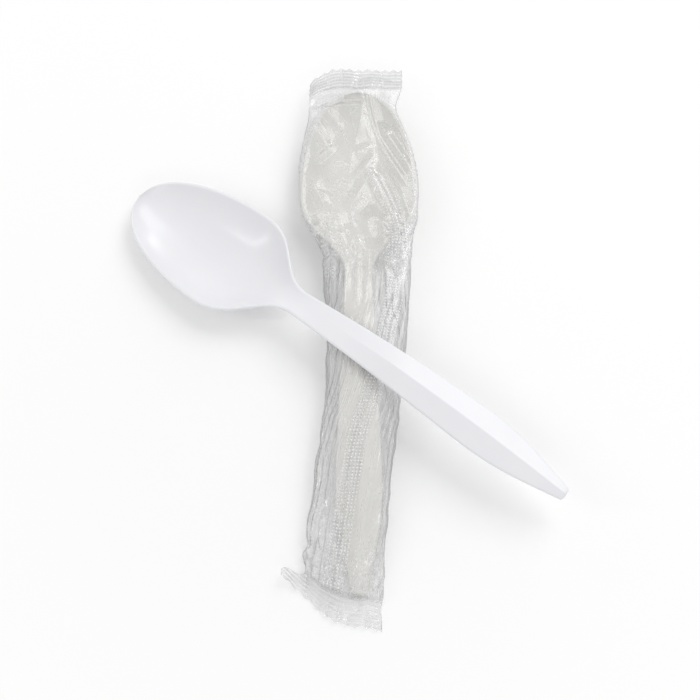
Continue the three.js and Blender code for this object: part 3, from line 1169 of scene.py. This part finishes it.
    def press_seals(self, points: Array, x: Array, y: Array) -> None:
        """Presses both crimped ends, and turns up the ear of the lower one.

        Args:
            points: Rows and columns of x, y and z, which are moved.
            x: Plain place of each point across the pack.
            y: Place of each row.
        """
        row = y[:, None] * np.ones_like(x)
        points[..., 2] += self.seal_share(row) * self.crimp.relief(x, row)
        ear = fall(row - self.bottom_y, *self.ear_above) * fall(x, *self.ear_across)
        points[..., 2] += self.ear_rise * ear**self.ear_curl
        points[..., 1] += self.ear_fold * ear

    def creasing(self, points: Array, y: Array) -> Array:
        """Marks how sharply the film is bent at each point, more readily where it lies flat; the film's
        material whitens these bends, partly as stress whitening and partly as painted highlight.

        Args:
            points: Rows and columns of x, y and z.
            y: Place of each row.

        Returns:
            Shares from 0 to 1.
        """
        z = points[..., 2]
        bend = np.abs(np.diff(z, 2, axis=1, prepend=z[:, :1], append=z[:, -1:]))
        bend += np.abs(np.diff(z, 2, axis=0, prepend=z[:1], append=z[-1:]))
        flat = ease(y, *self.rim_in)[:, None]
        least, span = blend(*self.crease_least, flat), blend(*self.crease_span, flat)
        return np.clip((bend - least) / span, 0, 1)

    def sheet_points(self) -> tuple[Array, Array, Array]:
        """Shapes the whole sheet.

        Returns:
            Rows and columns of points from one free edge of the fin to the other, how sharply each is
            creased, and the upper layer of the fin alone.
        """
        y = self.rows()
        x, z, facing, run = self.sections(y)
        lift, push = self.crumple(y, x, facing)
        slope = np.stack([np.gradient(x, axis=1), np.gradient(z, axis=1)], 2)
        slope /= np.maximum(np.linalg.norm(slope, axis=2, keepdims=True), 1e-6)
        px = x + push * slope[..., 0] + lift * slope[..., 1]
        pz = z + push * slope[..., 1] - lift * slope[..., 0]
        points = self.settle(np.stack([px, y[:, None] + self.edge_shift(x, y), pz], 2), facing)
        self.press_seals(points, x, y)
        crease = self.creasing(points, y)
        steps = np.linspace(0, self.fin_width, self.fin_columns)
        lap = np.stack([[np.interp(steps, r, line) for line in p.T] for r, p in zip(run, points)])
        lap = lap.transpose(0, 2, 1)
        across = steps[None, :] * np.ones((len(y), 1))
        wave = self.lap_wave * self.lap_waves.at(across, lap[..., 1])
        lap[..., 2] += wave * (steps / self.fin_width)
        gap = self.clearance * (1 - self.lap_squeeze * self.seal_share(y)[:, None])
        lower, upper = lap.copy(), lap.copy()
        lower[..., 2] += gap
        upper[..., 2] += 2 * gap
        climb = ease(np.arange(self.columns), self.columns - self.fin_columns, self.columns - 1)
        points[..., 2] += 2 * gap * climb[None, :]
        sheet = np.concatenate([lower[:, :0:-1], points, upper[:, 1:]], 1)
        margin = np.zeros((len(y), self.fin_columns - 1))
        return sheet, np.concatenate([margin, crease, margin], 1), upper

    def build(self) -> tuple[bpy.types.Object, Array]:
        """Makes the sheet and dresses it.

        Returns:
            The piece, and the points of the fin's upper layer.
        """
        sheet, crease, fin = self.sheet_points()
        rows, columns = sheet.shape[:2]
        piece = mesh_object(f"{Node.FILM.value}_sheet", sheet.reshape(-1, 3), grid_faces(rows, columns))
        # The crease mark drives the film's painted crease highlight as well as its stress whitening.
        mark = piece.data.attributes.new("crease", "FLOAT", "POINT")
        mark.data.foreach_set("value", crease.ravel().astype(np.float32))
        ends = np.empty(2 * len(piece.data.edges), np.int32)
        piece.data.edges.foreach_get("vertices", ends)
        at_root = (ends.reshape(-1, 2) % columns == self.fin_columns - 1).all(1)
        sharp = piece.data.attributes.new("sharp_edge", "BOOLEAN", "EDGE")
        sharp.data.foreach_set("value", at_root)
        flat = piece.data.uv_layers.new(name="flat")
        corners = np.empty(len(piece.data.loops), np.int32)
        piece.data.loops.foreach_get("vertex_index", corners)
        place = np.stack([corners % columns / (columns - 1), corners // columns / (rows - 1)], 1)
        flat.data.foreach_set("uv", place.ravel().astype(np.float32))
        for finish in (self.finish, self.lap_finish, self.seal_finish):
            piece.data.materials.append(finish.material())
        column = np.arange(len(piece.data.polygons)) % (columns - 1)
        lapped = (column < self.fin_columns - 1) | (column >= columns - self.fin_columns)
        sealed = np.repeat(self.seal_share(self.rows())[1:] > 0.5, columns - 1)
        kind = np.where(lapped, 1, np.where(sealed, 2, 0))
        piece.data.polygons.foreach_set("material_index", kind.astype(np.int32))
        return piece, fin


@dataclass
class FinKnurl:
    """Rows of embossed dots that bond the two layers of the fin, in millimetres.

    Each press is its least depth and what a patch adds: even down the handle and broken up over the bowl.
    """

    finish: ClearFilm
    pitch: float = 0.95
    dot_width: float = 0.54
    dot_height: float = 0.24
    spread: float = 0.35
    seed: int = 7
    margin: float = 0.6
    top_gap: float = 10.0
    bottom_gap: float = 8.5
    even_below: float = 8.0
    even_press: Pair = (0.75, 0.35)
    broken_press: Pair = (-0.55, 1.9)
    broken_limits: Pair = (0.05, 1.0)
    patches: SmoothNoise = SmoothNoise(71, 2.4, 11)

    def tree(self) -> bpy.types.NodeTree:
        """Builds the nodes that set a dot on each point of a strip.

        Returns:
            The tree, with the dots' sizes as its inputs.
        """
        tree = bpy.data.node_groups.new("fin_knurl", "GeometryNodeTree")
        for name, kind in (
            ("Strip", "NodeSocketGeometry"),
            ("Dot Width", "NodeSocketFloat"),
            ("Dot Height", "NodeSocketFloat"),
            ("Spread", "NodeSocketFloat"),
            ("Seed", "NodeSocketInt"),
            ("Finish", "NodeSocketMaterial"),
        ):
            tree.interface.new_socket(name=name, in_out="INPUT", socket_type=kind)
        tree.interface.new_socket(name="Dots", in_out="OUTPUT", socket_type="NodeSocketGeometry")
        given = add_node(tree, "NodeGroupInput").outputs
        ball = add_node(tree, "GeometryNodeMeshIcoSphere", {"Radius": 0.5, "Subdivisions": 1}).outputs["Mesh"]
        least, most = (
            add_node(tree, "ShaderNodeMath", {0: 1.0, 1: given["Spread"]}, operation=way).outputs[0]
            for way in ("SUBTRACT", "ADD")
        )
        drawn = add_node(
            tree,
            "FunctionNodeRandomValue",
            {"Min": least, "Max": most, "Seed": given["Seed"]},
            data_type="FLOAT",
        ).outputs["Value"]
        depth = add_node(
            tree, "GeometryNodeInputNamedAttribute", {"Name": "emboss"}, data_type="FLOAT"
        ).outputs["Attribute"]
        share = add_node(tree, "ShaderNodeMath", {0: drawn, 1: depth}, operation="MULTIPLY").outputs[0]
        wide, high = (
            add_node(tree, "ShaderNodeMath", {0: given[name], 1: share}, operation="MULTIPLY").outputs[0]
            for name in ("Dot Width", "Dot Height")
        )
        size = add_node(tree, "ShaderNodeCombineXYZ", {"X": wide, "Y": wide, "Z": high}).outputs["Vector"]
        normal = add_node(tree, "GeometryNodeInputNormal").outputs["Normal"]
        upright = add_node(
            tree, "FunctionNodeAlignRotationToVector", {"Vector": normal}, axis="Z"
        ).outputs["Rotation"]
        dots = add_node(
            tree,
            "GeometryNodeInstanceOnPoints",
            {"Points": given["Strip"], "Instance": ball, "Rotation": upright, "Scale": size},
        ).outputs["Instances"]
        real = add_node(tree, "GeometryNodeRealizeInstances", {"Geometry": dots}).outputs["Geometry"]
        smooth = add_node(tree, "GeometryNodeSetShadeSmooth", {"Geometry": real}).outputs["Geometry"]
        dressed = add_node(tree, "GeometryNodeSetMaterial", {"Geometry": smooth, "Material": given["Finish"]})
        add_node(tree, "NodeGroupOutput", {"Dots": dressed.outputs["Geometry"]})
        return tree

    def strip(self, fin: Array) -> bpy.types.Object:
        """Lays a strip on the fin with a point for each dot.

        Args:
            fin: Rows and columns of points on the fin's upper layer.

        Returns:
            The strip, with how deeply each dot is pressed.
        """
        width = float(np.median(np.linalg.norm(fin[:, -1] - fin[:, 0], axis=1)))
        down = np.concatenate([[0], np.cumsum(np.linalg.norm(np.diff(fin.mean(1), axis=0), axis=1))])
        rows = np.arange(self.top_gap, down[-1] - self.bottom_gap, self.pitch)
        places = np.arange(self.margin, width - self.margin / 2, self.pitch) / width
        even = np.linspace(0, 1, fin.shape[1])
        lines = np.stack(
            [[np.interp(rows, down, fin[:, j, k]) for k in range(3)] for j in range(fin.shape[1])]
        ).transpose(2, 0, 1)
        points = np.stack(
            [[np.interp(places, even, line[:, k]) for k in range(3)] for line in lines]
        ).transpose(0, 2, 1)
        y = points[..., 1]
        patch = 0.5 + 0.5 * self.patches.at(points[..., 0], y)
        whole, broken = (base + gain * patch for base, gain in (self.even_press, self.broken_press))
        emboss = np.where(y < self.even_below, whole, np.clip(broken, *self.broken_limits))
        strip = mesh_object("fin_strip", points.reshape(-1, 3), grid_faces(*points.shape[:2]))
        mark = strip.data.attributes.new("emboss", "FLOAT", "POINT")
        mark.data.foreach_set("value", emboss.ravel().astype(np.float32))
        return strip

    def build(self, fin: Array) -> bpy.types.Object:
        """Makes the dots as one plain mesh and dresses them.

        Args:
            fin: Rows and columns of points on the fin's upper layer.

        Returns:
            The piece.
        """
        strip = self.strip(fin)
        finish = self.finish.material()
        modifier = strip.modifiers.new("knurl", "NODES")
        modifier.node_group = self.tree()
        values = {
            "Dot Width": self.dot_width * MM,
            "Dot Height": self.dot_height * MM,
            "Spread": self.spread,
            "Seed": self.seed,
            "Finish": finish,
        }
        for item in modifier.node_group.interface.items_tree:
            if item.name in values:
                modifier[item.identifier] = values[item.name]
        view = bpy.context.evaluated_depsgraph_get()
        view.update()
        mesh = bpy.data.meshes.new_from_object(strip.evaluated_get(view), depsgraph=view)
        strip.modifiers.remove(modifier)
        bpy.data.objects.remove(strip)
        mesh.name = "film_fin_knurl"
        piece = bpy.data.objects.new("film_fin_knurl", mesh)
        bpy.context.scene.collection.objects.link(piece)
        return piece


@dataclass(frozen=True)
class Softbox:
    """A square lamp that faces the pack, in metres and watts."""

    name: str
    place: tuple[float, float, float]
    size: Pair
    power: float

    def build(self) -> None:
        """Hangs the lamp."""
        lamp = bpy.data.lights.new(self.name, "AREA")
        lamp.shape = "RECTANGLE"
        lamp.size, lamp.size_y = self.size
        lamp.energy = self.power
        holder = bpy.data.objects.new(self.name, lamp)
        holder.location = self.place
        holder.rotation_euler = (-Vector(self.place)).to_track_quat("-Z", "Y").to_euler()
        bpy.context.scene.collection.objects.link(holder)


@dataclass
class Studio:
    """White table, soft lamps and the camera, in metres and degrees."""

    table_size: float = 8.0
    table_white: str = "ffffff"
    own_light: float = 0.1
    near: float = 0.06
    far: float = 0.17
    room_light: float = 0.645
    elevation: float = 68.0
    distance: float = 0.42
    target: tuple[float, float, float] = (0.0027, -0.00467, 0.006)
    focal_pixels: float = 1533.0
    frame_pixels: float = 700.0
    lamps: tuple[Softbox, ...] = (
        Softbox("key_softbox", (0.42, 0.46, 0.78), (0.62, 0.62), 3.3),
        Softbox("left_strip", (-0.75, -0.05, 0.6), (0.06, 0.5), 0.8),
        Softbox("low_strip", (0.335, 0.766, 0.332), (0.035, 0.3), 0.4),
        Softbox("front_fill", (0.1, -0.9, 0.7), (0.5, 0.3), 0.8),
    )

    def table(self) -> None:
        """Lays the white table, which shows white and still takes the shadow."""
        size = self.table_size / 2 / MM
        corners = np.array([(-size, -size, 0), (size, -size, 0), (size, size, 0), (-size, size, 0)])
        table = mesh_object("table", corners, [(0, 1, 2, 3)])
        material, tree = blank_material("white_table")
        paint = add_node(tree, "ShaderNodeBsdfDiffuse", {"Color": linear(self.table_white)}).outputs["BSDF"]
        glow = add_node(tree, "ShaderNodeEmission", {"Color": linear("ffffff"), "Strength": 1.0}).outputs[0]
        place = add_node(tree, "ShaderNodeTexCoord").outputs["Object"]
        away = add_node(tree, "ShaderNodeVectorMath", {0: place}, operation="LENGTH").outputs["Value"]
        own = add_node(
            tree,
            "ShaderNodeMapRange",
            {
                "Value": away,
                "From Min": self.near,
                "From Max": self.far,
                "To Min": self.own_light,
                "To Max": 1.0,
            },
        ).outputs["Result"]
        share = add_node(
            tree, "ShaderNodeMath", {0: self.seen_directly(tree), 1: own}, operation="MULTIPLY"
        ).outputs[0]
        surface = add_node(tree, "ShaderNodeMixShader", {0: share, 1: paint, 2: glow}).outputs[0]
        add_node(tree, "ShaderNodeOutputMaterial", {"Surface": surface})
        table.data.materials.append(material)

    def seen_directly(self, tree: bpy.types.NodeTree) -> bpy.types.NodeSocket:
        """Gives 1 for rays that show the surroundings, straight or by gloss or glass.

        Args:
            tree: Tree that gets the nodes.

        Returns:
            The socket.
        """
        path = add_node(tree, "ShaderNodeLightPath").outputs
        either = add_node(
            tree, "ShaderNodeMath", {0: path["Is Camera Ray"], 1: path["Is Glossy Ray"]}, operation="MAXIMUM"
        ).outputs[0]
        return add_node(
            tree, "ShaderNodeMath", {0: either, 1: path["Is Transmission Ray"]}, operation="MAXIMUM"
        ).outputs[0]

    def room(self) -> None:
        """Fills the room with even light and shows it white."""
        world = bpy.data.worlds.new("white_room")
        world.use_nodes = True
        tree = world.node_tree
        tree.nodes.clear()
        even, white = (
            add_node(tree, "ShaderNodeBackground", {"Color": linear("ffffff"), "Strength": level}).outputs[0]
            for level in (self.room_light, 1.0)
        )
        shown = add_node(tree, "ShaderNodeMixShader", {0: self.seen_directly(tree), 1: even, 2: white})
        add_node(tree, "ShaderNodeOutputWorld", {"Surface": shown.outputs[0]})
        bpy.context.scene.world = world

    def camera(self) -> None:
        """Sets the camera at the photograph's angle."""
        data = bpy.data.cameras.new("camera")
        data.sensor_width = 36.0
        data.lens = self.focal_pixels / self.frame_pixels * data.sensor_width
        data.clip_start, data.clip_end = 0.01, 100.0
        camera = bpy.data.objects.new("camera", data)
        rise = math.radians(self.elevation)
        back = Vector((0, -math.cos(rise), math.sin(rise)))
        camera.location = Vector(self.target) + back * self.distance
        camera.rotation_euler = (-back).to_track_quat("-Z", "Y").to_euler()
        bpy.context.scene.collection.objects.link(camera)
        bpy.context.scene.camera = camera

    def build(self) -> None:
        """Sets up the whole studio."""
        bpy.context.scene.view_settings.view_transform = "Standard"
        bpy.context.scene.cycles.transparent_max_bounces = 32
        self.camera()
        self.table()
        self.room()
        for lamp in self.lamps:
            lamp.build()


def main() -> None:
    """Builds the pack and its studio."""
    logging.basicConfig(level=logging.INFO, format="%(name)s: %(message)s")
    Studio().build()
    form = SpoonForm()
    low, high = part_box(Node.WRAPPED.value)
    axis = ((low.x + high.x) / 2 / MM, (low.y + high.y) / 2 / MM)
    wrapped = PlacedSpoon(
        form,
        Node.WRAPPED,
        Slot.WRAPPED,
        # A slightly warm white, painted a shade darker than the loose spoon's plastic to stand for the
        # dimming seen through the sleeve.
        SpoonPlastic("satin_white_polypropylene_with_painted_shade", "e8e7e3", "e2e1dd", 0.33),
        middle=axis,
        heading=math.radians(-90),
        pitch=0.0,
        lift=0.65,
    )
    loose = PlacedSpoon(
        form,
        Node.LOOSE,
        Slot.LOOSE,
        # The bare moulding shows a cool white with soft-edged highlights.
        SpoonPlastic("glossy_white_polypropylene", "efeff2", "eaeaee", 0.215),
        middle=(axis[0] - 4.2, axis[1] - 4.3),
        heading=math.radians(-38),
        pitch=math.radians(4.911),
        lift=3.957,
    )
    for spoon in (wrapped, loose):
        log.info("%s: %d faces", spoon.node.value, len(spoon.build().data.polygons))
    sleeve = FilmSleeve(
        wrapped,
        loose,
        # Free film is clear with sharp glints, and whiter along its creases, partly milky stress whitening
        # and partly painted highlight.
        ClearFilm("clear_cast_polypropylene", "fdfdfd", "a2a2a5"),
        # The fin's two layers lie flat on each other, so they hardly show but for their dots.
        ClearFilm(
            "welded_cast_polypropylene", "ffffff", "f6f6f6", face_gloss=0.015, haze=0.02, crease_whitening_and_highlight=0.3
        ),
        # Pressed ends are clearer than the crumpled film and glint along their ribs.
        ClearFilm("heat_sealed_polypropylene", "fcfcfc", "c4c4c6", face_gloss=0.03, haze=0.07),
    )
    sheet, fin = sleeve.build()
    dots = FinKnurl(
        # Film turns white where it is stretched into dots.
        ClearFilm("embossed_polypropylene", "ffffff", "f4f4f4", "ffffff", haze=0.85, crease_whitening_and_highlight=0.0)
    ).build(fin)
    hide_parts(Node.FILM.value)
    for piece in (sheet, dots):
        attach(piece, "root")
        log.info("%s: %d faces", piece.name, len(piece.data.polygons))


if __name__ == "__main__":
    main()
